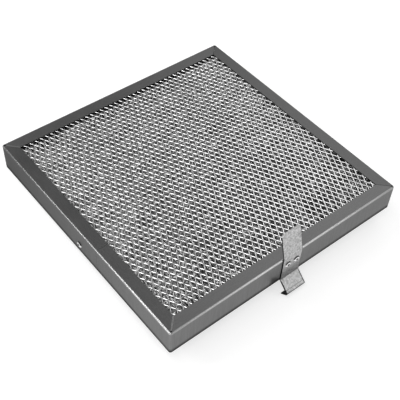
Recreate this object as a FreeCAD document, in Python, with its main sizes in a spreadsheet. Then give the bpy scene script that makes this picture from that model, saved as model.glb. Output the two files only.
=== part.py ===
"""Cooker hood grease filter: a folded aluminium frame round a pack of expanded and crimped mesh.

Millimetres. +Z is up, away from the hood's inside. The origin is the centre of the panel on the plane of
the lower flanges. The clip is on the front rail, towards -Y, and the strip closes on the left rail, at -X.
"""
import FreeCAD
import Part
import Sketcher

import math
import os

ORIGIN_POINT = (-1, 1)
HORIZONTAL_AXIS = -1
VERTICAL_AXIS = -2
START = 1
END = 2

# Driving sizes: name, millimetres unless the note says otherwise, note
DRIVING_SIZES = [
    ("panel_width", "240", "along X, outside the folded frame"),
    ("panel_depth", "240", "along Y, outside the folded frame"),
    ("panel_height", "26.5", "along Z, outside the flanges"),
    ("strip_thickness", "0.8", "metal of the frame"),
    ("flange_width", "11.5", "from the outside of the wall to the window"),
    ("corner_radius", "2", "outside of the four folds of the wall"),
    ("bend_radius", "1.2", "outside of the bends between wall and flanges"),
    ("mitre_gap", "0.3", "between two flanges at a corner"),
    ("relief_width", "1.5", "square notch at the end of each mitre, on the axis of the fold"),
    ("splice_seam", "25", "from the middle of the left rail towards the front, to the outer end of the strip"),
    ("splice_gap", "0.15", "between the outer end of the strip and the step of the inner end"),
    ("splice_tab", "40", "inner end of the strip, past the seam"),
    ("splice_step", "4", "length over which the inner end steps inwards"),
    ("splice_clearance", "0.1", "between the wall and the inner end, on every side"),
    ("strand_width", "1.1", "strand of the expanded sheets, across"),
    ("strand_thickness", "0.7", "strand of the expanded sheets, in height"),
    ("mesh_short_pitch", "5.25", "from cell to cell along X"),
    ("mesh_long_pitch", "10", "from cell to cell along Y"),
    ("pack_clearance", "0.5", "between the edge of the mesh pack and the rivets' tails"),
    ("crimp_count", "10", "number of crimps in an inner layer"),
    ("crimp_flat", "3.6", "flat top and bottom of a crimp"),
    ("crimp_metal", "0.3", "metal of the inner layers"),
    ("crimp_slot", "2.2", "width of a slot in the flank of a crimp, seen from above"),
    ("crimp_web", "8", "metal left between two slots and at their ends"),
    ("clip_width", "20", "strip of the clip"),
    ("clip_thickness", "0.8", "strip of the clip"),
    ("clip_offset", "0.5", "from the middle of the front rail to the right"),
    ("clip_bend_radius", "1.4", "bends of the clip, at the middle of its metal"),
    ("catch_height", "1.2", "from the lower flanges up to the bend of the catch"),
    ("tongue_rise", "24", "height of the tongue above the frame"),
    ("tongue_lean", "6.6", "lean of the tongue over the panel, at its top"),
    ("tongue_corner", "4", "radius of the tongue's top corners"),
    ("catch_reach", "8.5", "outward slope of the catch, across"),
    ("catch_drop", "7.8", "outward slope of the catch, down"),
    ("lip_reach", "5.3", "lip that leads the catch in, across"),
    ("lip_drop", "3.8", "lip that leads the catch in, down"),
    ("rivet_shank", "3.2", "diameter of the blind rivets"),
    ("rivet_head", "6", "diameter of their heads"),
    ("rivet_head_height", "1", "height of their heads"),
    ("rivet_rim", "0.3", "height of the straight edge round their heads"),
    ("rivet_crown", "3.4", "diameter of the flat on top of their heads"),
    ("rivet_tail", "4.4", "diameter of their set tails"),
    ("rivet_tail_length", "2.2", "length of their set tails"),
    ("rivet_tail_end", "3.2", "diameter at the end of their set tails"),
    ("rivet_tail_taper", "0.9", "length of the taper at that end"),
    ("rivet_mouth", "1.8", "diameter of the hole that the mandrel leaves in the head"),
    ("rivet_mouth_depth", "0.7", "depth of that hole"),
    ("rivet_clearance", "0.05", "between a shank and its hole, all round"),
    ("clip_rivet_pitch", "9.2", "between the two rivets of the clip"),
    ("clip_rivet_height", "18", "from the lower flanges to the clip's rivets"),
    ("frame_rivet_height", "9.5", "from the lower flanges to the frame's rivet"),
]
INNER_LAYERS = 4
SLOTS_PER_FLANK = 2
CORNERS = [(1, 1), (-1, 1), (-1, -1), (1, -1)]

doc = FreeCAD.newDocument("grease_filter")


class Size:
    """A size as an expression on the sheet's cells, with the number that it has now."""

    def __init__(self, text, number):
        self.text = text
        self.number = number

    def joined(self, sign, other, number):
        return Size(f"({self.text} {sign} {as_size(other).text})", number)

    def __add__(self, other):
        return self.joined("+", other, self.number + as_size(other).number)

    def __sub__(self, other):
        return self.joined("-", other, self.number - as_size(other).number)

    def __mul__(self, other):
        return self.joined("*", other, self.number * as_size(other).number)

    def __truediv__(self, other):
        return self.joined("/", other, self.number / as_size(other).number)

    def __rsub__(self, other):
        return as_size(other) - self

    def __neg__(self):
        return Size(f"(-{self.text})", -self.number)

    __radd__ = __add__
    __rmul__ = __mul__


def as_size(value):
    return value if isinstance(value, Size) else Size(f"{value:.9g}", float(value))


def make_sheet():
    sheet = doc.addObject("Spreadsheet::Sheet", "sizes")
    sizes = {}
    for row, (name, number, note) in enumerate(DRIVING_SIZES, start=1):
        sheet.set(f"A{row}", name)
        sheet.set(f"B{row}", number)
        sheet.set(f"C{row}", note)
        sheet.setAlias(f"B{row}", name)
    doc.recompute()
    for name, _, _ in DRIVING_SIZES:
        sizes[name] = Size(f"sizes.{name}", float(sheet.get(name)))
    return sizes


def bind(thing, path, size):
    thing.setExpression(path, as_size(size).text)


def place(thing, path, x=None, y=None, z=None):
    for axis, size in (("x", x), ("y", y), ("z", z)):
        if size is not None:
            bind(thing, f"{path}.Base.{axis}", size)


def new_body(label):
    body = doc.addObject("PartDesign::Body", label)
    body.Label = label
    return body


def origin_feature(body, role):
    return next(feature for feature in body.Origin.OriginFeatures if feature.Role == role)


def new_sketch(body, name, role, x=None, y=None, z=None, turn=0.0):
    """A sketch on one of the body's planes, shifted within it by x and y, along its normal by z, and turned."""
    sketch = body.newObject("Sketcher::SketchObject", name)
    sketch.AttachmentSupport = [(origin_feature(body, role), "")]
    sketch.MapMode = "FlatFace"
    turned = FreeCAD.Rotation(FreeCAD.Vector(0, 0, 1), turn)
    sketch.AttachmentOffset = FreeCAD.Placement(FreeCAD.Vector(), turned)
    place(sketch, "AttachmentOffset", x, y, z)
    return sketch


def constrain_size(sketch, kind, geometry, size):
    """A constraint of one length, bound to the sheet."""
    index = sketch.addConstraint(Sketcher.Constraint(kind, *geometry, abs(as_size(size).number)))
    bind(sketch, f"Constraints[{index}]", size)


def fix_point(sketch, point, x, y):
    """Ties a point of the sketch to its distances from the sketch's origin."""
    for kind, size, axis in (("DistanceX", x, VERTICAL_AXIS), ("DistanceY", y, HORIZONTAL_AXIS)):
        size = as_size(size)
        if size.number == 0:
            sketch.addConstraint(Sketcher.Constraint("PointOnObject", *point, axis))
        elif size.number > 0:
            constrain_size(sketch, kind, (*ORIGIN_POINT, *point), size)
        else:
            constrain_size(sketch, kind, (*point, *ORIGIN_POINT), -size)


def draw_outline(sketch, points):
    """A closed outline of straight lines with every corner tied to the sheet."""
    vectors = [FreeCAD.Vector(as_size(x).number, as_size(y).number, 0) for x, y in points]
    first = len(sketch.Geometry)
    count = len(points)
    for i in range(count):
        sketch.addGeometry(Part.LineSegment(vectors[i], vectors[(i + 1) % count]))
    for i in range(count):
        following = first + (i + 1) % count
        sketch.addConstraint(Sketcher.Constraint("Coincident", first + i, END, following, START))
    for i, (x, y) in enumerate(points):
        fix_point(sketch, (first + i, START), x, y)


def draw_rectangle(sketch, x_low, x_high, y_low, y_high):
    draw_outline(sketch, [(x_low, y_low), (x_high, y_low), (x_high, y_high), (x_low, y_high)])


def draw_centred(sketch, length, width):
    draw_rectangle(sketch, -(length / 2), length / 2, -(width / 2), width / 2)


def draw_hole(sketch, radius):
    index = sketch.addGeometry(Part.Circle(FreeCAD.Vector(), FreeCAD.Vector(0, 0, 1), radius.number))
    sketch.addConstraint(Sketcher.Constraint("Coincident", index, 3, *ORIGIN_POINT))
    constrain_size(sketch, "Radius", (index,), radius)


def pad(body, sketch, length, midplane=False):
    feature = body.newObject("PartDesign::Pad", f"{sketch.Name}_pad")
    feature.Profile = sketch
    bind(feature, "Length", length)
    if midplane:
        feature.SideType = "Symmetric"
    return feature


def pocket(body, sketch, length=None, reverse=False):
    """Cuts a sketch away, to a length from its plane or else right through both ways."""
    before = body.Shape.Volume
    feature = body.newObject("PartDesign::Pocket", f"{sketch.Name}_pocket")
    feature.Profile = sketch
    feature.Reversed = reverse
    if length is None:
        feature.SideType = "Symmetric"
        feature.Type = "ThroughAll"
    else:
        bind(feature, "Length", length)
    doc.recompute()
    if not body.Shape.Volume < before:
        raise RuntimeError(f"{feature.Name} cuts nothing")
    return feature


def round_edges(body, name, base, radius, chosen):
    """Rounds the edges of a feature that the test chooses."""
    doc.recompute()
    names = [f"Edge{i}" for i, edge in enumerate(base.Shape.Edges, start=1) if chosen(edge)]
    if not names:
        raise RuntimeError(f"{name} finds no edge")
    feature = body.newObject("PartDesign::Fillet", name)
    feature.Base = (base, names)
    bind(feature, "Radius", radius)
    doc.recompute()
    return feature


def runs_along(edge, axis):
    """Whether an edge is straight and runs along X, Y or Z: 0, 1 or 2."""
    if not isinstance(edge.Curve, Part.Line):
        return False
    return abs(abs(edge.Curve.Direction[axis]) - 1) < 1e-6


def near(value, size):
    return abs(value - as_size(size).number) < 1e-4


size = make_sheet()
half_width = size["panel_width"] / 2
half_depth = size["panel_depth"] / 2
strip = size["strip_thickness"]
hole_radius = size["rivet_shank"] / 2 + size["rivet_clearance"]
tab_outside = half_width - strip - size["splice_clearance"]
tab_inside = tab_outside - strip
pack_margin = half_width - tab_inside + size["rivet_tail_length"] + size["pack_clearance"]
pack_width = size["panel_width"] - 2 * pack_margin
pack_depth = size["panel_depth"] - 2 * pack_margin
sheet_height = 2 * size["strand_thickness"]
layer_height = (size["panel_height"] - 2 * strip - 2 * sheet_height) / INNER_LAYERS
clip_middle = half_depth + size["clip_thickness"] / 2


def make_frame():
    """The folded strip: wall, flanges with mitres, and the inner end that the rivet holds."""
    body = new_body("frame")
    outside = new_sketch(body, "outside", "XY_Plane")
    draw_centred(outside, size["panel_width"], size["panel_depth"])
    block = pad(body, outside, size["panel_height"])
    folds = round_edges(
        body, "wall_folds", block, size["corner_radius"], lambda edge: runs_along(edge, 2)
    )
    bends = round_edges(
        body, "flange_bends", folds, size["bend_radius"],
        lambda edge: near(edge.BoundBox.ZMin, edge.BoundBox.ZMax),
    )
    doc.recompute()

    window = new_sketch(body, "window", "XY_Plane")
    draw_centred(
        window, size["panel_width"] - 2 * size["flange_width"], size["panel_depth"] - 2 * size["flange_width"]
    )
    pocket(body, window)

    channel = new_sketch(body, "channel", "XY_Plane", z=strip)
    draw_centred(channel, size["panel_width"] - 2 * strip, size["panel_depth"] - 2 * strip)
    hollow = pocket(body, channel, size["panel_height"] - 2 * strip, reverse=True)
    inner_corner = (half_width - strip).number
    round_edges(
        body, "inner_folds", hollow, size["corner_radius"] - strip,
        lambda edge: runs_along(edge, 2) and near(abs(edge.BoundBox.XMin), inner_corner),
    )

    fold_x = half_width - size["corner_radius"]
    fold_y = half_depth - size["corner_radius"]
    window_x = half_width - size["flange_width"]
    window_y = half_depth - size["flange_width"]
    mitre_length = math.sqrt(2) * (fold_x - window_x) + 2 * size["mitre_gap"]
    for number, (right, back) in enumerate(CORNERS, start=1):
        diagonal = math.degrees(math.atan2(back, right))
        slit = new_sketch(
            body, f"mitre_{number}", "XY_Plane", x=right * (fold_x + window_x) / 2,
            y=back * (fold_y + window_y) / 2, turn=diagonal,
        )
        draw_centred(slit, mitre_length, size["mitre_gap"])
        pocket(body, slit)
        relief = new_sketch(body, f"relief_{number}", "XY_Plane", x=right * fold_x, y=back * fold_y)
        draw_centred(relief, size["relief_width"], size["relief_width"])
        pocket(body, relief)

    seam = new_sketch(
        body, "seam", "XY_Plane", x=-(half_width - size["flange_width"] / 2), y=-size["splice_seam"]
    )
    draw_centred(seam, size["flange_width"] + 2 * size["splice_gap"], size["splice_gap"])
    pocket(body, seam)

    step_end = size["splice_seam"] + size["splice_gap"] / 2
    tab_bottom = strip + size["splice_clearance"]
    tab_height = size["panel_height"] - 2 * tab_bottom
    step = new_sketch(body, "splice_step", "XY_Plane", z=tab_bottom)
    draw_rectangle(
        step, -(half_width - strip / 2), -tab_inside, -(step_end + size["splice_step"]), -step_end
    )
    pad(body, step, tab_height)
    tab = new_sketch(body, "splice_tab", "XY_Plane", z=tab_bottom)
    draw_rectangle(
        tab, -tab_outside, -tab_inside, -(step_end + size["splice_step"] / 2),
        size["splice_tab"] - size["splice_seam"],
    )
    pad(body, tab, tab_height)
    doc.recompute()

    for number, side in enumerate((-1, 1), start=1):
        hole = new_sketch(
            body, f"clip_hole_{number}", "XZ_Plane", x=size["clip_offset"] + side * size["clip_rivet_pitch"] / 2,
            y=size["clip_rivet_height"], z=half_depth,
        )
        draw_hole(hole, hole_radius)
        pocket(body, hole, 2 * strip)
    hole = new_sketch(body, "splice_hole", "YZ_Plane", y=size["frame_rivet_height"], z=-half_width)
    draw_hole(hole, hole_radius)
    pocket(body, hole, half_width - tab_inside + strip, reverse=True)
    return body


def make_strand_family(label, level, lean):
    """Parallel strands of an expanded sheet, from one strand and a row of copies along X."""
    body = new_body(label)
    body.AllowCompound = True
    slope = size["mesh_short_pitch"] / size["mesh_long_pitch"]
    reach = pack_width + pack_depth * slope
    copies = math.ceil((reach / size["mesh_short_pitch"]).number / 2)
    strand = new_sketch(
        body, f"{label}_strand", "XY_Plane", x=-copies * size["mesh_short_pitch"], z=level,
        turn=lean * math.degrees(math.atan2(1, slope.number)),
    )
    draw_centred(strand, pack_width + pack_depth, size["strand_width"])
    bar = pad(body, strand, size["strand_thickness"])
    row = body.newObject("PartDesign::LinearPattern", f"{label}_row")
    row.Originals = [bar]
    row.Direction = (origin_feature(body, "X_Axis"), [""])
    row.Occurrences = 2 * copies + 1
    bind(row, "Length", 2 * copies * size["mesh_short_pitch"])
    body.Tip = row
    return body


def make_expanded_sheet(label, level):
    """An expanded sheet: two families of strands that cross, cut to the outline of the pack."""
    families = []
    for name, lean, height in (("lower", 1, level), ("upper", -1, level + size["strand_thickness"])):
        strands = make_strand_family(f"{label}_{name}", height, lean)
        outline = doc.addObject("Part::Box", f"{label}_{name}_outline")
        bind(outline, "Length", pack_width)
        bind(outline, "Width", pack_depth)
        bind(outline, "Height", size["strand_thickness"])
        place(outline, "Placement", -(pack_width / 2), -(pack_depth / 2), height)
        cut = doc.addObject("Part::Common", f"{label}_{name}_cut")
        cut.Base = strands
        cut.Tool = outline
        families.append(cut)
    sheet = doc.addObject("Part::Compound", label)
    sheet.Links = families
    return sheet


def make_inner_layer(number):
    """A crimped layer: one crimp with slots in its flanks, repeated; every second layer is turned a quarter."""
    body = new_body(f"inner_mesh_{number}")
    turned = number % 2 == 0
    span, length = (pack_depth, pack_width) if turned else (pack_width, pack_depth)
    pitch = span / size["crimp_count"]
    flat = size["crimp_flat"] / 2
    metal = size["crimp_metal"]
    underside = [
        (as_size(0), as_size(0)),
        (flat, as_size(0)),
        (pitch / 2 - flat, layer_height - metal),
        (pitch / 2 + flat, layer_height - metal),
        (pitch - flat, as_size(0)),
        (pitch, as_size(0)),
    ]
    upside = [(x, z + metal) for x, z in reversed(underside)]
    section = new_sketch(body, f"crimp_{number}", "XZ_Plane")
    draw_outline(section, underside + upside)
    crimp = pad(body, section, length, midplane=True)
    doc.recompute()

    slots = new_sketch(body, f"slots_{number}", "XY_Plane")
    slot_length = (length - (SLOTS_PER_FLANK + 1) * size["crimp_web"]) / SLOTS_PER_FLANK
    for flank in (1, 3):
        middle = flank * pitch / 4
        for place_in_row in range(SLOTS_PER_FLANK):
            near_end = size["crimp_web"] + place_in_row * (slot_length + size["crimp_web"]) - length / 2
            draw_rectangle(
                slots, middle - size["crimp_slot"] / 2, middle + size["crimp_slot"] / 2,
                near_end, near_end + slot_length,
            )
    openings = pocket(body, slots)

    row = body.newObject("PartDesign::LinearPattern", f"crimps_{number}")
    row.Originals = [crimp, openings]
    row.Direction = (origin_feature(body, "X_Axis"), [""])
    row.Occurrences = round(size["crimp_count"].number)
    bind(row, "Length", span - pitch)
    body.Tip = row
    level = strip + sheet_height + (number - 1) * layer_height
    if turned:
        body.Placement = FreeCAD.Placement(
            FreeCAD.Vector(), FreeCAD.Rotation(FreeCAD.Vector(0, 0, 1), 90)
        )
        place(body, "Placement", y=-(span / 2), z=level)
    else:
        place(body, "Placement", x=-(span / 2), z=level)
    return body


def draw_run(sketch, start, first_end, bends):
    """A strip's middle line: a straight run and then, for each bend, an arc and a straight run.

    Each bend gives the way that the strip turns, 1 to the left or -1 to the right, and the new run's
    distances along the sketch's axes.
    """
    radius = size["clip_bend_radius"]
    here = FreeCAD.Vector(first_end[0].number, first_end[1].number, 0)
    begin = FreeCAD.Vector(start[0].number, start[1].number, 0)
    heading = (here - begin).normalize()
    run = sketch.addGeometry(Part.LineSegment(begin, here))
    fix_point(sketch, (run, START), *start)
    fix_point(sketch, (run, END), *first_end)
    for turn, across, along in bends:
        run_vector = FreeCAD.Vector(across.number, along.number, 0)
        new_heading = FreeCAD.Vector(run_vector).normalize()
        to_left = FreeCAD.Vector(-heading.y, heading.x, 0)
        new_left = FreeCAD.Vector(-new_heading.y, new_heading.x, 0)
        centre = here + to_left * (turn * radius.number)
        after = centre - new_left * (turn * radius.number)
        spokes = [point - centre for point in (here, after)]
        angles = [math.atan2(spoke.y, spoke.x) for spoke in spokes]
        circle = Part.Circle(centre, FreeCAD.Vector(0, 0, 1), radius.number)
        first_angle, last_angle = angles if turn > 0 else reversed(angles)
        arc = sketch.addGeometry(Part.ArcOfCircle(circle, first_angle, last_angle))
        enters, leaves = (START, END) if turn > 0 else (END, START)
        new_run = sketch.addGeometry(Part.LineSegment(after, after + run_vector))
        sketch.addConstraint(Sketcher.Constraint("Tangent", run, END, arc, enters))
        sketch.addConstraint(Sketcher.Constraint("Tangent", arc, leaves, new_run, START))
        constrain_size(sketch, "Radius", (arc,), radius)
        for kind, distance in (("DistanceX", across), ("DistanceY", along)):
            ends = ((new_run, START), (new_run, END)) if distance.number > 0 else ((new_run, END), (new_run, START))
            constrain_size(sketch, kind, (*ends[0], *ends[1]), distance if distance.number > 0 else -distance)
        here = after + run_vector
        heading = new_heading
        run = new_run


def make_clip():
    """The spring clip: one strip, bent from its riveted part up into the tongue and down into the catch."""
    body = new_body("spring_clip")
    middle = (-clip_middle, size["clip_rivet_height"])
    runs = (
        ("tongue", size["panel_height"], [(-1, size["tongue_lean"], size["tongue_rise"])]),
        (
            "catch", size["catch_height"],
            [(-1, -size["catch_reach"], -size["catch_drop"]), (1, size["lip_reach"], -size["lip_drop"])],
        ),
    )
    for name, first_bend, bends in runs:
        path = new_sketch(body, f"{name}_path", "YZ_Plane", z=size["clip_offset"])
        draw_run(path, middle, (-clip_middle, first_bend), bends)
        section = new_sketch(
            body, f"{name}_section", "XY_Plane", x=size["clip_offset"], y=-clip_middle,
            z=size["clip_rivet_height"],
        )
        draw_centred(section, size["clip_width"], size["clip_thickness"])
        strip_run = body.newObject("PartDesign::AdditivePipe", name)
        strip_run.Profile = section
        strip_run.Spine = (path, [f"Edge{i}" for i in range(1, len(path.Geometry) + 1)])
        doc.recompute()

    top = body.Shape.BoundBox.ZMax
    tongue_top = body.Tip
    half_clip = size["clip_width"] / 2
    ends = [(size["clip_offset"] + side * half_clip).number for side in (-1, 1)]
    round_edges(
        body, "tongue_corners", tongue_top, size["tongue_corner"],
        lambda edge: edge.BoundBox.ZMax > top - size["clip_thickness"].number
        and edge.Length < 2 * size["clip_thickness"].number
        and any(near(edge.BoundBox.XMin, end) and near(edge.BoundBox.XMax, end) for end in ends),
    )
    for number, side in enumerate((-1, 1), start=1):
        hole = new_sketch(
            body, f"rivet_hole_{number}", "XZ_Plane", x=size["clip_offset"] + side * size["clip_rivet_pitch"] / 2,
            y=size["clip_rivet_height"], z=half_depth + 2 * size["clip_thickness"],
        )
        draw_hole(hole, hole_radius)
        pocket(body, hole, 3 * size["clip_thickness"])
    return body


def make_rivet(label, grip):
    """A set blind rivet on the Z axis: its head above the XY plane, its shank and tail below."""
    body = new_body(label)
    head = size["rivet_head"] / 2
    crown = size["rivet_crown"] / 2
    mouth = size["rivet_mouth"] / 2
    shank = size["rivet_shank"] / 2
    tail = size["rivet_tail"] / 2
    tail_end = size["rivet_tail_end"] / 2
    rim = size["rivet_rim"]
    top = size["rivet_head_height"]
    mouth_floor = top - size["rivet_mouth_depth"]
    end = -(grip + size["rivet_tail_length"])
    taper = end + size["rivet_tail_taper"]
    section = new_sketch(body, f"{label}_section", "XZ_Plane")
    draw_outline(
        section,
        [
            (0, end), (tail_end, end), (tail, taper), (tail, -grip), (shank, -grip), (shank, 0), (head, 0),
            (head, rim), (crown, top), (mouth, top), (mouth, mouth_floor), (0, mouth_floor),
        ],
    )
    turned = body.newObject("PartDesign::Revolution", f"{label}_turned")
    turned.Profile = section
    turned.ReferenceAxis = (section, ["V_Axis"])
    turned.Angle = 360
    return body


def make_clip_rivets():
    """The two rivets that hold the clip to the front wall."""
    rivets = []
    for name, side in (("left", -1), ("right", 1)):
        rivet = make_rivet(f"clip_rivet_{name}", size["clip_thickness"] + strip)
        rivet.Placement = FreeCAD.Placement(
            FreeCAD.Vector(), FreeCAD.Rotation(FreeCAD.Vector(1, 0, 0), 90)
        )
        place(
            rivet, "Placement", size["clip_offset"] + side * size["clip_rivet_pitch"] / 2,
            -(half_depth + size["clip_thickness"]), size["clip_rivet_height"],
        )
        rivets.append(rivet)
    pair = doc.addObject("Part::Compound", "clip_rivets")
    pair.Links = rivets
    return pair


def make_frame_rivet():
    """The rivet that holds the two ends of the strip."""
    rivet = make_rivet("frame_rivet", half_width - tab_inside)
    rivet.Placement = FreeCAD.Placement(
        FreeCAD.Vector(), FreeCAD.Rotation(FreeCAD.Vector(0, 1, 0), -90)
    )
    place(rivet, "Placement", x=-half_width, z=size["frame_rivet_height"])
    return rivet


def check(nodes):
    for item in doc.Objects:
        faults = {"Invalid", "Error"} & set(item.State)
        if faults:
            raise RuntimeError(f"{item.Name}: {', '.join(sorted(faults))}")
    for node in nodes:
        if node.Shape.isNull() or not node.Shape.isValid():
            raise RuntimeError(f"{node.Label} has no valid shape")


def main():
    front_level = size["panel_height"] - strip - sheet_height
    nodes = [
        make_frame(),
        make_expanded_sheet("rear_mesh", strip),
        make_expanded_sheet("front_mesh", front_level),
        *[make_inner_layer(number) for number in range(1, INNER_LAYERS + 1)],
        make_clip(),
        make_clip_rivets(),
        make_frame_rivet(),
    ]
    doc.recompute()
    check(nodes)
    os.makedirs("parts", exist_ok=True)
    for node in nodes:
        node.Shape.exportStep(f"parts/{node.Label}.step")
        print(node.Label, len(node.Shape.Solids), "solids", round(node.Shape.Volume, 1), "mm3")


main()
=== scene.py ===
"""Looks of a cooker hood grease filter: its meshes, rivets and finishes, with floor, light and camera.

Metres, in the axes of the CAD frame: +Z is up and the clip is on the front rail, towards -Y.
"""

import math

import bmesh
import bpy
from mathutils import Matrix, Vector


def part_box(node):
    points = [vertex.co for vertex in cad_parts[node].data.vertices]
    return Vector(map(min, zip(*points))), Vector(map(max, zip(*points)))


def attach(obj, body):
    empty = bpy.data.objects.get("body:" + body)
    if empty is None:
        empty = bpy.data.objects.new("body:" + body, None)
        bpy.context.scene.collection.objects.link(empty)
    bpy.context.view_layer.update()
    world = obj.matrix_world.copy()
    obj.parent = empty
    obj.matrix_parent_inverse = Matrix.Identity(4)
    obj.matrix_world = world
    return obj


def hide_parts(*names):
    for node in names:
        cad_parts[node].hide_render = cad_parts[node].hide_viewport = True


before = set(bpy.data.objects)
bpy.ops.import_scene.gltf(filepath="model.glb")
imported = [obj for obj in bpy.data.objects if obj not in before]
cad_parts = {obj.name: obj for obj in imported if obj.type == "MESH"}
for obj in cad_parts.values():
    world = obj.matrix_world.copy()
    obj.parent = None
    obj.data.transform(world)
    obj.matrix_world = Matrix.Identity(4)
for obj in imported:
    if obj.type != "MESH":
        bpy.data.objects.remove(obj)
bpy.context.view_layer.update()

MM = 0.001

# All expanded sheets: rings of vertices along each cell of a ribbon, and the attribute for the finish
RINGS_PER_CELL = 8
SWING = "swing"

# Expanded sheets, front and rear
SHORT_PITCH = 5.25 * MM
LONG_PITCH = 10 * MM
STRAND_WIDTH = 0.5 * MM
STRAND_METAL = 0.5 * MM
STRAND_TILT = math.radians(26)
TILT_UNEVENNESS = math.radians(4)
BOND_LENGTH = 1.8 * MM

# Inner layers of finer mesh, crimped into ridges
INNER_LAYERS = 4
FINE_SHORT_PITCH = 4.9 * MM
FINE_LONG_PITCH = 8.8 * MM
FINE_STRAND_WIDTH = 1.5 * MM
FINE_STRAND_METAL = 0.2 * MM
FINE_STRAND_TILT = math.radians(24)
FINE_TILT_UNEVENNESS = math.radians(3)
FINE_BOND_LENGTH = 1.1 * MM
CRIMP_COUNT = 10
CRIMP_FLAT = 3.6 * MM

# Painted light brightens both meshes between these distances from the middle, towards the side rails
LIGHTER_FROM = 50.0 * MM
LIGHTEST_FROM = 100.0 * MM

# Flanges of the frame, as the CAD has them
FLANGE_WIDTH = 11.5 * MM

# Blind rivets: the head, the metal that each kind grips, and the radius of its mouth, painted dark as shade
RIVET_HEAD_RADIUS = 3.0 * MM
RIVET_HEAD_HEIGHT = 1.0 * MM
RIVET_SEGMENTS = 40
CLIP_GRIP = 1.6 * MM
CLIP_MOUTH_RADIUS = 1.3 * MM
SPLICE_GRIP = 1.7 * MM
SPLICE_MOUTH_RADIUS = 1.4 * MM
FROM_AXIS = "from_axis"

# Floor: half its side, and the distances from the middle over which the shadow on it fades out
FLOOR_REACH = 20.0
SHADOW_FULL = 0.3
SHADOW_END = 0.9

# Floor as it is seen, part lit and part glowing, and its grey where it only lights the object
FLOOR_LIT_GREY = 0.5
FLOOR_GLOW = 0.65
FLOOR_BOUNCE_GREY = 0.8

# Room: its grey, and its pale side to the rear and left, with the shares of that direction where it fades in
ROOM_GREY = 0.28
PALE_SIDE_GREY = 0.5
PALE_SIDE = Vector((-0.55, 0.83))
PALE_FROM = 0.3
PALEST_FROM = 0.8

# Softboxes stand upright, but those overhead have their height along Y
UPRIGHT = (0.0, 0.0, 1.0)
OVERHEAD_UPRIGHT = (0.0, 1.0, 0.0)

# Camera, from the edges of the panel in the photograph
PHOTO_PIXELS = 400
FOCAL_PIXELS = 789.27
SENSOR = 36.0
FARTHEST_SEEN = 100.0
EYE = Vector((-307.94, -355.07, 513.64)) * MM
AZIMUTH = math.radians(-41.541)
ELEVATION = math.radians(48.503)
ROLL = math.radians(3.52)


class Socket:
    """An output in a node tree. Python's operators on it add Math nodes."""

    def __init__(self, tree, socket):
        self.tree = tree
        self.socket = socket

    def math(self, operation, *operands):
        return self.tree.node("ShaderNodeMath", {"operation": operation}, dict(enumerate(operands)))

    def __add__(self, other):
        return self.math("ADD", self, other)

    def __sub__(self, other):
        return self.math("SUBTRACT", self, other)

    def __rsub__(self, other):
        return self.math("SUBTRACT", other, self)

    def __mul__(self, other):
        return self.math("MULTIPLY", self, other)

    def __truediv__(self, other):
        return self.math("DIVIDE", self, other)

    def __gt__(self, other):
        return self.math("GREATER_THAN", self, other)

    def __lt__(self, other):
        return self.math("LESS_THAN", self, other)

    def __abs__(self):
        return self.math("ABSOLUTE", self)

    def clamped(self, low=0.0, high=1.0):
        return self.math("MINIMUM", self.math("MAXIMUM", self, low), high)

    def rising(self, start, end):
        """0 up to the start, 1 from the end."""
        return ((self - start) / (end - start)).clamped()

    def spread(self, amount):
        """A pattern about 0.5 as a pattern about 0, by an amount."""
        return amount * (self - 0.5)

    def parts(self):
        """X, Y and Z of a vector."""
        split = self.tree.node("ShaderNodeSeparateXYZ", {}, {0: self}).socket.node
        return [Socket(self.tree, output) for output in split.outputs]

    __radd__ = __add__
    __rmul__ = __mul__


class Tree:
    """A node tree that is built by calls."""

    def __init__(self, tree):
        self.tree = tree

    def node(self, kind, settings, sockets, out=0):
        """Adds a node by its type, its settings and the values or links of its sockets; gives one output."""
        made = self.tree.nodes.new(kind)
        for name, value in settings.items():
            setattr(made, name, value)
        for key, value in sockets.items():
            if isinstance(value, Socket):
                self.tree.links.new(value.socket, made.inputs[key])
            else:
                made.inputs[key].default_value = value
        return Socket(self, made.outputs[out])

    def vector(self, x, y, z):
        return self.node("ShaderNodeCombineXYZ", {}, {0: x, 1: y, 2: z})

    def place(self):
        """Where a point of the surface is, in the object's axes."""
        return self.node("ShaderNodeTexCoord", {}, {}, out="Object")

    def attribute(self, name):
        """What the mesh stores under a name."""
        return self.node("ShaderNodeAttribute", {"attribute_name": name}, {}, out="Fac")

    def noise(self, place, scale, detail=2.0):
        """A cloudy pattern about 0.5, with its scale in waves a metre."""
        sockets = {"Vector": place, "Scale": scale, "Detail": detail}
        return self.node("ShaderNodeTexNoise", {"noise_dimensions": "3D"}, sockets)


def grey(level):
    return (level, level, level, 1.0)


def blend(one, other, share):
    """The one at a share of 0, the other at 1."""
    return one + (other - one) * share


def new_finish(name, **constants):
    """A material with one Principled shader, its constant sockets set; gives it, its tree and the shader."""
    material = bpy.data.materials.new(name)
    material.use_nodes = True
    shader = material.node_tree.nodes["Principled BSDF"]
    for socket, value in constants.items():
        shader.inputs[socket.replace("_", " ")].default_value = value
    return material, Tree(material.node_tree), shader


def feed(tree, shader, **varying):
    """Links what changes over the surface to the shader's sockets."""
    for socket, value in varying.items():
        tree.tree.links.new(value.socket, shader.inputs[socket.replace("_", " ")])


def bump(tree, height, strength, distance):
    return tree.node("ShaderNodeBump", {}, {"Strength": strength, "Distance": distance, "Height": height})


def lit_sides(x):
    """Painted light on the meshes: 0 over their middle, 1 beside the side rails."""
    return abs(x).rising(LIGHTER_FROM, LIGHTEST_FROM)


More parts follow.
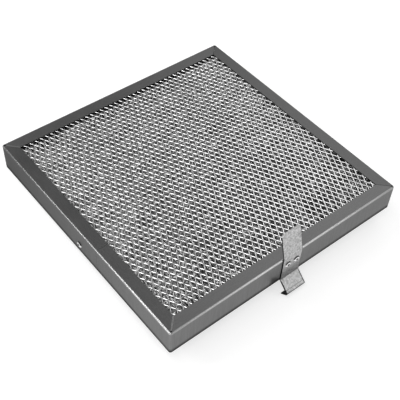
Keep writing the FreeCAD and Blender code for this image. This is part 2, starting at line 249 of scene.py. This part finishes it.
def satin_strip():
    """Rolled aluminium strip of the frame: grain along each rail, and walls paler than the flanges by
    painted light.

    The upper bends of the left and front rails and the strip at the left mitres carry painted highlights.
    The side rails are darkened by painted shade, the left wall more towards the rear. Painted shade darkens
    the foot of the walls, and a painted shadow of the clip lies on the front wall beside it.
    """
    material, tree, shader = new_finish("satin_strip", Metallic=1.0, Specular_Tint=grey(0.55))
    place = tree.place()
    x, y, z = place.parts()
    low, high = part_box("frame")

    # Where on the strip: along its rail, out from the middle, on the wall and on the wall's upper bend
    wall_start, wall_full = high.x - 1.3 * MM, high.x - 1.1 * MM
    bend_start, bend_full = high.z - 1.5 * MM, high.z - 1.1 * MM
    on_cross_rails = abs(y) > abs(x)
    on_side_rails = 1 - on_cross_rails
    along = blend(y, x, on_cross_rails)
    aside = blend(x, y, on_cross_rails)
    towards_rear = y.rising(0.8 * low.y, 0.9 * high.y)
    on_wall = abs(aside).rising(wall_start, wall_full)
    upper_bend = on_wall * z.rising(bend_start, bend_full)

    # Patterns of the rolled metal: the grain is drawn out along the rail, the marks up the wall
    grain = tree.noise(tree.vector(along * 0.04, aside, z), scale=2600.0, detail=3.0)
    clouds = tree.noise(place, scale=30.0, detail=4.0)
    specks = tree.noise(place, scale=1100.0)
    marks = tree.noise(tree.vector(along, aside * 0.1, z * 0.06), scale=900.0)

    # Painted highlights on the upper bends, most in the middle of the front rail and the front of the left
    # one, and along the left mitres
    highlit_bend = upper_bend * (aside < 0)
    front_left_end = 1 - y.rising(low.y, 0.2 * low.y)
    left_bend_highlight = 0.1 * (1 - towards_rear) + 0.35 * front_left_end
    front_bend_highlight = blend(0.41, 0.24, abs(x).rising(0.25 * high.x, 0.95 * high.x))
    bend_highlight = highlit_bend * blend(left_bend_highlight, front_bend_highlight, on_cross_rails)
    from_mitre = abs(abs(x) - abs(y))
    # A painted highlight along the flange edges at the left mitres
    mitre_highlight = (1 - on_wall) * (x < 0) * (1 - from_mitre.rising(0.3 * MM, 0.8 * MM))

    # Painted shade: the foot, the side rails, and the clip's shadow, whose upper edge slants beside the clip
    foot_shade_full, foot_shade_end = low.z + 2.0 * MM, low.z + 5.8 * MM
    # Painted shade along the foot of the walls
    foot_shade = on_wall * (1 - z.rising(foot_shade_full, foot_shade_end))
    # Painted shade on the side rails, the left wall more towards the rear
    left_rail_shade = 0.22 + on_wall * (0.54 * towards_rear - 0.08)
    side_rail_shade = on_side_rails * (left_rail_shade * (x < 0) * (1 - upper_bend) + 0.18 * (x > 0))
    from_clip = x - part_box("spring_clip")[0].x
    beside_clip = from_clip.rising(-12.5 * MM, -8.5 * MM) * (from_clip < 0.5 * MM)
    under_slant = 1 - (z + 0.8 * from_clip).rising(1.6 * MM, 5.6 * MM)
    # Painted shadow of the clip on the front wall beside it
    clip_shadow = on_wall * (y < 0) * beside_clip * under_slant

    # Painted light: the walls paler than the flanges, more on the side rails
    wall_light = on_wall * (1 - upper_bend) * blend(0.12, 0.065, on_cross_rails)
    metal = 0.155 + clouds.spread(0.035) + grain.spread(0.06) + specks.spread(0.06)
    tone = metal + on_wall * marks.spread(0.08) + bend_highlight + wall_light
    tone = tone * (1 - 0.8 * foot_shade) * (1 - side_rail_shade) * (1 - 0.45 * clip_shadow)
    rough = 0.36 + clouds.spread(0.14) + grain.spread(0.12) - 0.06 * highlit_bend + 0.2 * foot_shade
    relief = bump(tree, grain + 0.5 * specks, strength=0.12, distance=0.06 * MM)
    feed(tree, shader, Base_Color=tone + 0.3 * mitre_highlight, Roughness=rough, Normal=relief)
    return material


def bright_mesh():
    """Bright aluminium of the expanded sheets: each strand a little different, with painted shade at the
    bonds.

    Painted light makes it brighter towards the side rails.
    """
    material, tree, shader = new_finish("bright_mesh", Metallic=1.0)
    place = tree.place()
    x = place.parts()[0]
    # Painted shade darkens the strands near their bonds
    bond_shade = tree.attribute(SWING).rising(0.5, 0.95)
    patches = tree.noise(place, scale=24.0, detail=3.0)
    strands = tree.noise(place, scale=330.0)
    drawn = tree.noise(place, scale=2400.0)
    tone = 0.8 + 0.15 * lit_sides(x) + patches.spread(0.22) + strands.spread(0.7)
    tone = tone * (1 - 0.52 * bond_shade)
    rough = 0.27 + patches.spread(0.12) + drawn.spread(0.1)
    relief = bump(tree, drawn, strength=0.1, distance=0.05 * MM)
    feed(tree, shader, Base_Color=tone.clamped(0.12, 0.95), Roughness=rough, Normal=relief)
    return material


def dull_shaded_mesh():
    """Duller aluminium of the inner layers, darker still by painted shade, with painted glints at random
    spots.

    Painted shade darkens it towards the front right corner and under the rear flange; painted light lifts it
    towards the side rails.
    """
    material, tree, shader = new_finish("dull_shaded_mesh", Metallic=1.0)
    place = tree.place()
    x, y, _ = place.parts()
    half_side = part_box("frame")[1].y
    flange_edge = half_side - FLANGE_WIDTH
    front_right = (x - y).rising(-0.5 * half_side, 1.25 * half_side)
    at_rear_flange = y.rising(flange_edge - 4.5 * MM, flange_edge - 0.5 * MM)
    # Painted shade towards the front right corner and under the rear flange
    inner_shade = 0.55 * front_right + 0.6 * at_rear_flange
    patches = tree.noise(place, scale=40.0, detail=3.0)
    strands = tree.noise(place, scale=380.0)
    # Painted glints at random spots
    glints = tree.noise(place, scale=620.0).rising(0.52, 0.65)
    # The dark base is partly duller metal and partly painted shade under the front sheet
    tone = (0.2 + patches.spread(0.1) + strands.spread(0.2)) * (1 - 1.3 * inner_shade)
    tone = (tone + 0.8 * glints * (1 - 0.5 * inner_shade)) * (0.95 + 0.35 * lit_sides(x))
    rough = 0.7 + patches.spread(0.2)
    relief = bump(tree, strands, strength=0.1, distance=0.05 * MM)
    feed(tree, shader, Base_Color=tone.clamped(0.04, 0.8), Roughness=rough, Normal=relief)
    return material


def mottled_zinc():
    """Zinc-plated spring steel of the clip: pale, with a soft mottle.

    Painted shade darkens its cut edges, its lip, a line across the catch and the tongue downwards.
    """
    material, tree, shader = new_finish("mottled_zinc", Metallic=1.0, Specular_Tint=grey(0.5))
    place = tree.place()
    x, _, z = place.parts()
    low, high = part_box("spring_clip")
    half_width = (high.x - low.x) / 2
    off_middle = abs(x - (low.x + high.x) / 2)
    catch_top = 0.0
    lip_top = low.z + 5.7 * MM
    crease_foot = low.z + 7.6 * MM
    tongue_foot = 1.2 * MM
    tongue_bend = 9.0 * MM
    tongue_pale = 20.0 * MM

    mottle = tree.noise(place, scale=620.0, detail=3.0)
    clouds = tree.noise(place, scale=200.0)
    grit = tree.noise(place, scale=2600.0)
    # Painted shade along the cut edges of the strip and the edges of the catch
    cut_edge_shade = off_middle.rising(half_width - 0.45 * MM, half_width - 0.1 * MM)
    catch_edge_shade = (z < catch_top) * off_middle.rising(half_width - 1.0 * MM, half_width - 0.6 * MM)
    edges = (cut_edge_shade + catch_edge_shade).clamped()
    # Painted shade on the lip and up to the bend, under the catch
    lip = 1 - z.rising(lip_top, lip_top + 0.5 * MM)
    # Painted shade in a line along the crease across the catch
    crease_shade = (z > crease_foot) * (z < crease_foot + 0.5 * MM)
    # Painted shade darkens the tongue downwards, most below its bend
    darker = 0.45 * (1 - z.rising(tongue_bend, tongue_pale)) + 0.1 * (1 - z.rising(tongue_foot, tongue_bend))
    tone = 0.55 + mottle.spread(0.95) + clouds.spread(0.2) + grit.spread(0.15)
    tone = tone * (1 - 0.96 * edges) * (1 - 0.92 * lip) * (1 - 0.35 * crease_shade)
    tone = tone * (1 - darker * (z > tongue_foot))
    rough = 0.5 + mottle.spread(0.2)
    relief = bump(tree, mottle + 0.4 * grit, strength=0.16, distance=0.08 * MM)
    feed(tree, shader, Base_Color=tone.clamped(0.01, 0.9), Roughness=rough, Normal=relief)
    return material


def turned_rivet(name, height, mouth_radius):
    """Bright aluminium of the rivets at one height, with painted shade in the mouth and on the rim's upper
    side.
    """
    material, tree, shader = new_finish(name, Metallic=1.0, Specular_Tint=grey(0.9))
    place = tree.place()
    from_axis = tree.attribute(FROM_AXIS)
    marks = tree.noise(place, scale=1900.0, detail=3.0)
    over_axis = place.parts()[2] - height
    # Painted shade on the upper side of the rim
    on_rim = from_axis.rising(RIVET_HEAD_RADIUS - 1.1 * MM, RIVET_HEAD_RADIUS - 0.5 * MM)
    rim_shade = on_rim * over_axis.rising(0.0, 1.2 * MM)
    # Painted shade in the rivet's mouth
    mouth = 1 - from_axis.rising(mouth_radius - 0.15 * MM, mouth_radius)
    tone = (0.93 + marks.spread(0.2)) * (1 - 0.95 * rim_shade) * (1 - 0.95 * mouth)
    rough = 0.2 + marks.spread(0.15)
    relief = bump(tree, marks, strength=0.12, distance=0.05 * MM)
    feed(tree, shader, Base_Color=tone, Roughness=rough, Normal=relief)
    return material


def white_floor():
    """A floor that the camera and reflections see as white, with a shadow on it near the object."""
    material = bpy.data.materials.new("white_floor")
    material.use_nodes = True
    material.node_tree.nodes.remove(material.node_tree.nodes["Principled BSDF"])
    tree = Tree(material.node_tree)
    path = {name: tree.node("ShaderNodeLightPath", {}, {}, out=f"Is {name} Ray")
            for name in ("Camera", "Glossy", "Transmission")}
    seen = (path["Camera"] + path["Glossy"] + path["Transmission"]).clamped()
    paper = tree.node("ShaderNodeBsdfDiffuse", {}, {"Color": grey(FLOOR_LIT_GREY)})
    glow = tree.node("ShaderNodeEmission", {}, {"Color": grey(1.0), "Strength": FLOOR_GLOW})
    near = tree.node("ShaderNodeAddShader", {}, {0: paper, 1: glow})
    x, y, _ = tree.place().parts()
    away = (x * x + y * y).rising(SHADOW_FULL ** 2, SHADOW_END ** 2)
    white = tree.node("ShaderNodeEmission", {}, {"Color": grey(1.0), "Strength": 1.0})
    shown = tree.node("ShaderNodeMixShader", {}, {0: away, 1: near, 2: white})
    bounced = tree.node("ShaderNodeBsdfDiffuse", {}, {"Color": grey(FLOOR_BOUNCE_GREY)})
    mixed = tree.node("ShaderNodeMixShader", {}, {0: seen, 1: bounced, 2: shown})
    tree.tree.links.new(mixed.socket, material.node_tree.nodes["Material Output"].inputs["Surface"])
    return material


def new_tree(name, inputs):
    """A Geometry Nodes tree with named inputs; gives it and its inputs by name."""
    group = bpy.data.node_groups.new(name, "GeometryNodeTree")
    for label, kind in inputs:
        group.interface.new_socket(name=label, in_out="INPUT", socket_type=f"NodeSocket{kind}")
    group.interface.new_socket(name="Mesh", in_out="OUTPUT", socket_type="NodeSocketGeometry")
    tree = Tree(group)
    given = group.nodes.new("NodeGroupInput")
    return tree, {label: Socket(tree, given.outputs[label]) for label, _ in inputs}


def close_tree(tree, mesh, material):
    """Ends a Geometry Nodes tree with its material."""
    painted = tree.node("GeometryNodeSetMaterial", {}, {"Geometry": mesh, "Material": material})
    tree.tree.links.new(painted.socket, tree.tree.nodes.new("NodeGroupOutput").inputs["Mesh"])


def link(piece):
    bpy.context.scene.collection.objects.link(piece)
    return piece


def grown(name, tree, values):
    """The piece that a Geometry Nodes tree makes from the values of its inputs, as a plain mesh."""
    maker = link(bpy.data.objects.new(f"{name}_maker", bpy.data.meshes.new(f"{name}_maker")))
    modifier = maker.modifiers.new("maker", "NODES")
    modifier.node_group = tree.tree
    for item in tree.tree.interface.items_tree:
        if item.in_out == "INPUT":
            modifier[item.identifier] = values[item.name]
    evaluated = maker.evaluated_get(bpy.context.evaluated_depsgraph_get())
    mesh = bpy.data.meshes.new_from_object(evaluated)
    bpy.data.objects.remove(maker)
    mesh.name = name
    return link(bpy.data.objects.new(name, mesh))


def expanded_sheet_tree():
    """Expanded metal: zigzag ribbons along Y that meet at their bonds, each tilted, and then crimped.

    A ribbon swings between the column of bonds on its left, where it is the upper half of each bond, and
    the one on its right, where it is the lower half.
    """
    tree, size = new_tree("expanded_sheet", [
        ("Ribbons", "Int"), ("Rings", "Int"), ("Length", "Float"), ("Half Short Pitch", "Float"),
        ("Long Pitch", "Float"), ("Bond Length", "Float"), ("Strand Width", "Float"), ("Metal", "Float"),
        ("Tilt", "Float"), ("Tilt Unevenness", "Float"), ("Seed", "Float"), ("Level", "Float"),
        ("Crimps", "Int"), ("Crimp Pitch", "Float"), ("Crimp Flat", "Float"), ("Crimp Rise", "Float"),
        ("Crimp Across", "Float"), ("Material", "Material"),
    ])

    # Straight bars side by side
    bar = tree.node("GeometryNodeMeshCube", {}, {
        "Size": tree.vector(size["Strand Width"], size["Length"], size["Metal"]),
        "Vertices X": 2, "Vertices Y": size["Rings"], "Vertices Z": 2,
    })
    half_count = size["Ribbons"] / 2
    index = tree.node("GeometryNodeInputIndex", {}, {})
    start = tree.vector((index + 0.5 - half_count) * size["Half Short Pitch"], 0.0, 0.0)
    points = tree.node("GeometryNodePoints", {}, {"Count": size["Ribbons"], "Position": start})
    copies = tree.node("GeometryNodeInstanceOnPoints", {}, {"Points": points, "Instance": bar})
    bars = tree.node("GeometryNodeRealizeInstances", {}, {"Geometry": copies})

    # Each bar's rings moved to the ends of its bonds
    x, y, z = tree.node("GeometryNodeInputPosition", {}, {}).parts()
    column = x.math("FLOOR", x / size["Half Short Pitch"] + half_count)
    middle = (column + 0.5 - half_count) * size["Half Short Pitch"]
    out = x - middle
    bond_share = size["Bond Length"] / size["Long Pitch"]
    even_phase = y / size["Long Pitch"] + column * 0.5
    to_bond_ends = (1 / RINGS_PER_CELL - bond_share / 2) * even_phase.math("SINE", 4 * math.pi * even_phase)
    phase = even_phase - to_bond_ends
    new_y = y - to_bond_ends * size["Long Pitch"]

    # The bars swung from bond to bond, and tilted a little unevenly
    swing = ((4 * abs(phase.math("FRACT", phase) - 0.5) - 1) / (1 - 2 * bond_share)).clamped(-1.0, 1.0)
    drift = tree.noise(tree.vector(x + size["Seed"], y, 0.0), scale=45.0, detail=3.0).spread(2.0)
    tilt = size["Tilt"] + drift * size["Tilt Unevenness"]
    side = tilt.math("COSINE", tilt)
    lift = tilt.math("SINE", tilt)
    half_strand = size["Strand Width"] / 2
    new_x = middle + out * side - z * lift - swing * (size["Half Short Pitch"] / 2 - half_strand * side)
    new_z = out * lift + z * side + swing * half_strand * lift

    # The sheet raised into flat-topped ridges
    half_crimp = size["Crimp Pitch"] / 2
    across = blend(new_x, new_y, size["Crimp Across"])
    turns = across / size["Crimp Pitch"] + size["Crimps"] / 2
    from_ridge = abs(turns.math("FRACT", turns) - 0.5) * size["Crimp Pitch"]
    ridge = (half_crimp - size["Crimp Flat"] / 2 - from_ridge) / (half_crimp - size["Crimp Flat"])
    new_z = new_z + ridge.clamped() * size["Crimp Rise"]

    marked = tree.node("GeometryNodeStoreNamedAttribute", {"data_type": "FLOAT", "domain": "POINT"}, {
        "Geometry": bars, "Name": SWING, "Value": abs(swing),
    })
    bent = tree.node("GeometryNodeSetPosition", {}, {
        "Geometry": marked, "Position": tree.vector(new_x, new_y, new_z),
    })
    placed = tree.node("GeometryNodeTransform", {}, {
        "Geometry": bent, "Translation": tree.vector(0.0, 0.0, size["Level"]),
    })
    close_tree(tree, placed, size["Material"])
    return tree


def whole_cells(span, pitch):
    """How many cells fit, with a millionth of a cell for rounding."""
    return math.floor(span / pitch + 1e-6)


def flat_sheet(name, node, tree, material, seed, tilt):
    """An expanded sheet, flat, in the place of its node."""
    low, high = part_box(node)
    cells = whole_cells(high.y - low.y, LONG_PITCH)
    no_crimps = {"Crimps": 0, "Crimp Pitch": 1.0, "Crimp Flat": 0.0, "Crimp Rise": 0.0, "Crimp Across": 0.0}
    piece = grown(name, tree, {
        "Ribbons": 2 * whole_cells(high.x - low.x, SHORT_PITCH), "Rings": RINGS_PER_CELL * cells + 1,
        "Length": cells * LONG_PITCH, "Half Short Pitch": SHORT_PITCH / 2, "Long Pitch": LONG_PITCH,
        "Bond Length": BOND_LENGTH, "Strand Width": STRAND_WIDTH, "Metal": STRAND_METAL, "Tilt": tilt,
        "Tilt Unevenness": TILT_UNEVENNESS, "Seed": seed, "Level": (low.z + high.z) / 2,
        "Material": material, **no_crimps,
    })
    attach(piece, "root")
    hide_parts(node)


def crimped_layer(number, tree, material):
    """An inner layer of fine mesh, crimped; the crimps of every second one run the other way."""
    node = f"inner_mesh_{number}"
    low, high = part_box(node)
    span = high.x - low.x
    cells = whole_cells(span, FINE_LONG_PITCH)
    thickness = 2 * FINE_STRAND_WIDTH * math.sin(FINE_STRAND_TILT) + FINE_STRAND_METAL
    piece = grown(f"inner_layer_{number}", tree, {
        "Ribbons": 2 * whole_cells(span, FINE_SHORT_PITCH), "Rings": RINGS_PER_CELL * cells + 1,
        "Length": cells * FINE_LONG_PITCH, "Half Short Pitch": FINE_SHORT_PITCH / 2,
        "Long Pitch": FINE_LONG_PITCH, "Bond Length": FINE_BOND_LENGTH,
        "Strand Width": FINE_STRAND_WIDTH, "Metal": FINE_STRAND_METAL, "Tilt": FINE_STRAND_TILT,
        "Tilt Unevenness": FINE_TILT_UNEVENNESS, "Seed": float(number), "Crimps": CRIMP_COUNT,
        "Crimp Pitch": span / CRIMP_COUNT, "Crimp Flat": CRIMP_FLAT,
        "Crimp Rise": high.z - low.z - thickness, "Level": low.z + thickness / 2,
        "Crimp Across": float(number % 2 == 0), "Material": material,
    })
    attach(piece, "root")
    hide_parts(node)


def lathe(name, outline, segments):
    """A turned mesh about Z from its outline, pairs of radius and height from the axis to the axis."""
    shape = bmesh.new()
    turns = [math.tau * step / segments for step in range(segments)]
    rings = []
    for radius, height in outline:
        around = turns if radius else [0.0]
        rings.append([shape.verts.new((radius * math.cos(a), radius * math.sin(a), height)) for a in around])
    for one, other in zip(rings, rings[1:]):
        for step in range(segments):
            after = (step + 1) % segments
            places = ((one, step), (one, after), (other, after), (other, step))
            corners = [ring[place % len(ring)] for ring, place in places]
            shape.faces.new(list(dict.fromkeys(corners)))
    bmesh.ops.recalc_face_normals(shape, faces=shape.faces)
    for face in shape.faces:
        face.smooth = True
    mesh = bpy.data.meshes.new(name)
    shape.to_mesh(mesh)
    shape.free()
    from_axis = mesh.attributes.new(FROM_AXIS, "FLOAT", "POINT")
    for vertex, value in zip(mesh.vertices, from_axis.data):
        value.value = vertex.co.xy.length
    return link(bpy.data.objects.new(name, mesh))


def rivet_outline(grip):
    """Half the section of a set blind rivet, in pairs of radius and height over the face that it holds."""
    mandrel = [(0, 0.42), (0.55, 0.4), (0.68, 0.3), (0.84, 0.28)]
    mouth = [(0.9, 0.36), (0.9, 0.82), (0.98, 0.95), (1.15, 1.0)]
    dome = [(1.7, 0.96), (2.2, 0.82), (2.6, 0.58), (2.88, 0.3), (3.0, 0.1), (2.96, 0.0)]
    shank = [(1.6, 0.0)]
    tail_past_grip = [(1.6, 0.0), (2.2, -0.1), (2.2, -1.3), (1.6, -2.2), (0, -2.2)]
    upper = [(radius * MM, height * MM) for radius, height in mandrel + mouth + dome + shank]
    return upper + [(radius * MM, height * MM - grip) for radius, height in tail_past_grip]


def rivet_row_tree():
    """Copies of one rivet along a line, turned to face outwards."""
    tree, size = new_tree("rivet_row", [
        ("Rivet", "Object"), ("Count", "Int"), ("First", "Vector"), ("Step", "Vector"), ("Facing", "Vector"),
        ("Material", "Material"),
    ])
    index = tree.node("GeometryNodeInputIndex", {}, {})
    shift = tree.node("ShaderNodeVectorMath", {"operation": "SCALE"}, {0: size["Step"], "Scale": index})
    start = tree.node("ShaderNodeVectorMath", {"operation": "ADD"}, {0: size["First"], 1: shift})
    points = tree.node("GeometryNodePoints", {}, {"Count": size["Count"], "Position": start})
    rivet = tree.node("GeometryNodeObjectInfo", {}, {"Object": size["Rivet"]}, out="Geometry")
    copies = tree.node("GeometryNodeInstanceOnPoints", {}, {
        "Points": points, "Instance": rivet, "Rotation": size["Facing"],
    })
    rivets = tree.node("GeometryNodeRealizeInstances", {}, {"Geometry": copies})
    close_tree(tree, rivets, size["Material"])
    return tree


def rivet_row(name, node, tree, grip, mouth_radius, values):
    """A row of rivets in the place of their node."""
    model = lathe(f"{name}_model", rivet_outline(grip), RIVET_SEGMENTS)
    finish = turned_rivet(f"{name}_finish", values["First"][2], mouth_radius)
    piece = grown(name, tree, {"Rivet": model, "Material": finish, **values})
    bpy.data.objects.remove(model)
    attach(piece, "root")
    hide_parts(node)


def paint(node, material):
    """Gives a CAD node its finish."""
    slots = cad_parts[node].data.materials
    slots.clear()
    slots.append(material)


def make_object():
    """The meshes and rivets in the place of their nodes, and the finishes of the frame and the clip."""
    sheets = expanded_sheet_tree()
    mesh_finish = bright_mesh()
    flat_sheet("front_sheet", "front_mesh", sheets, mesh_finish, 0.0, STRAND_TILT)
    flat_sheet("rear_sheet", "rear_mesh", sheets, mesh_finish, 1.0, -STRAND_TILT)
    inner_finish = dull_shaded_mesh()
    for number in range(1, INNER_LAYERS + 1):
        crimped_layer(number, sheets, inner_finish)

    rivets = rivet_row_tree()
    low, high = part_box("clip_rivets")
    clip_face = low.y + RIVET_HEAD_HEIGHT
    height = (low.z + high.z) / 2
    left, right = low.x + RIVET_HEAD_RADIUS, high.x - RIVET_HEAD_RADIUS
    rivet_row("clip_rivet_pair", "clip_rivets", rivets, CLIP_GRIP, CLIP_MOUTH_RADIUS, {
        "Count": 2, "First": (left, clip_face, height), "Step": (right - left, 0.0, 0.0),
        "Facing": (math.pi / 2, 0.0, 0.0),
    })
    low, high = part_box("frame_rivet")
    rivet_row("splice_rivet", "frame_rivet", rivets, SPLICE_GRIP, SPLICE_MOUTH_RADIUS, {
        "Count": 1, "First": (low.x + RIVET_HEAD_HEIGHT, (low.y + high.y) / 2, (low.z + high.z) / 2),
        "Step": (0.0, 0.0, 0.0), "Facing": (0.0, -math.pi / 2, 0.0),
    })
    paint("frame", satin_strip())
    paint("spring_clip", mottled_zinc())


def make_floor():
    """The filter rests on the clip's lip and its rear edge, so the floor is tilted under the panel."""
    clip_points = [vertex.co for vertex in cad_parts["spring_clip"].data.vertices]
    lip = min(clip_points, key=lambda point: point.z)
    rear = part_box("frame")[1].y
    slope = math.atan2(-lip.z, rear - lip.y)
    mesh = bpy.data.meshes.new("floor")
    corners = [(FLOOR_REACH * x, FLOOR_REACH * y, 0.0) for x, y in ((-1, -1), (1, -1), (1, 1), (-1, 1))]
    mesh.from_pydata(corners, [], [(0, 1, 2, 3)])
    mesh.transform(Matrix.Translation((0.0, rear, 0.0)) @ Matrix.Rotation(slope, 4, "X"))
    mesh.materials.append(white_floor())
    link(bpy.data.objects.new("floor", mesh))


def turned_to(right, up, back):
    """The turn that brings X, Y and Z to three directions."""
    return Matrix((right, up, back)).transposed().to_4x4()


def make_softbox(name, direction, distance, width, height, radiance, upright=UPRIGHT):
    """A lamp that faces the panel, its height along upright; its power follows from its face's radiance."""
    lamp = bpy.data.lights.new(name, "AREA")
    lamp.shape = "RECTANGLE"
    lamp.size = width
    lamp.size_y = height
    lamp.energy = radiance * math.pi * width * height
    box = link(bpy.data.objects.new(name, lamp))
    towards = Vector(direction).normalized()
    right = Vector(upright).cross(towards).normalized()
    turn = turned_to(right, towards.cross(right), towards)
    box.matrix_world = Matrix.Translation(towards * distance) @ turn


def make_light():
    """A grey room with a pale side, which the camera sees as white, and six softboxes."""
    world = bpy.context.scene.world or bpy.data.worlds.new("studio")
    bpy.context.scene.world = world
    world.use_nodes = True
    tree = Tree(world.node_tree)
    x, y, _ = tree.node("ShaderNodeTexCoord", {}, {}, out="Generated").parts()
    pale_side = (PALE_SIDE.x * x + PALE_SIDE.y * y).rising(PALE_FROM, PALEST_FROM)
    seen = tree.node("ShaderNodeLightPath", {}, {}, out="Is Camera Ray")
    room = blend(ROOM_GREY, PALE_SIDE_GREY, pale_side)
    shown = blend(room, 1, seen)
    tree.tree.links.new(shown.socket, world.node_tree.nodes["Background"].inputs["Color"])
    make_softbox(
        "overhead_softbox", direction=(-0.36, -0.13, 0.924), distance=1.3, width=0.6, height=0.75,
        radiance=3.3, upright=OVERHEAD_UPRIGHT,
    )
    make_softbox(
        "small_softbox", direction=(-0.2, 0.36, 0.91), distance=1.3, width=0.36, height=0.3,
        radiance=3.8, upright=OVERHEAD_UPRIGHT,
    )
    make_softbox(
        "rear_softbox", direction=(-0.05, 0.856, 0.515), distance=1.4, width=0.5, height=0.45, radiance=2.0
    )
    make_softbox(
        "left_softbox", direction=(-0.72, 0.5, 0.48), distance=1.3, width=0.36, height=0.36, radiance=11.0
    )
    make_softbox(
        "right_softbox", direction=(0.61, 0.34, 0.71), distance=3.0, width=1.8, height=1.8, radiance=1.15
    )
    make_softbox(
        "front_softbox", direction=(0.43, -0.7, 0.57), distance=1.4, width=0.7, height=0.7, radiance=1.9
    )


def make_camera():
    """The camera of the photograph."""
    data = bpy.data.cameras.new("camera")
    data.sensor_width = SENSOR
    data.lens = FOCAL_PIXELS / PHOTO_PIXELS * SENSOR
    data.clip_end = FARTHEST_SEEN
    camera = link(bpy.data.objects.new("camera", data))
    level_back = math.cos(ELEVATION)
    back = Vector((math.sin(AZIMUTH) * level_back, -math.cos(AZIMUTH) * level_back, math.sin(ELEVATION)))
    level = Vector((math.cos(AZIMUTH), math.sin(AZIMUTH), 0.0))
    right = math.cos(ROLL) * level + math.sin(ROLL) * back.cross(level)
    camera.matrix_world = Matrix.Translation(EYE) @ turned_to(right, back.cross(right), back)
    bpy.context.scene.camera = camera


bpy.context.scene.view_settings.view_transform = "Standard"
make_object()
make_floor()
make_light()
make_camera()
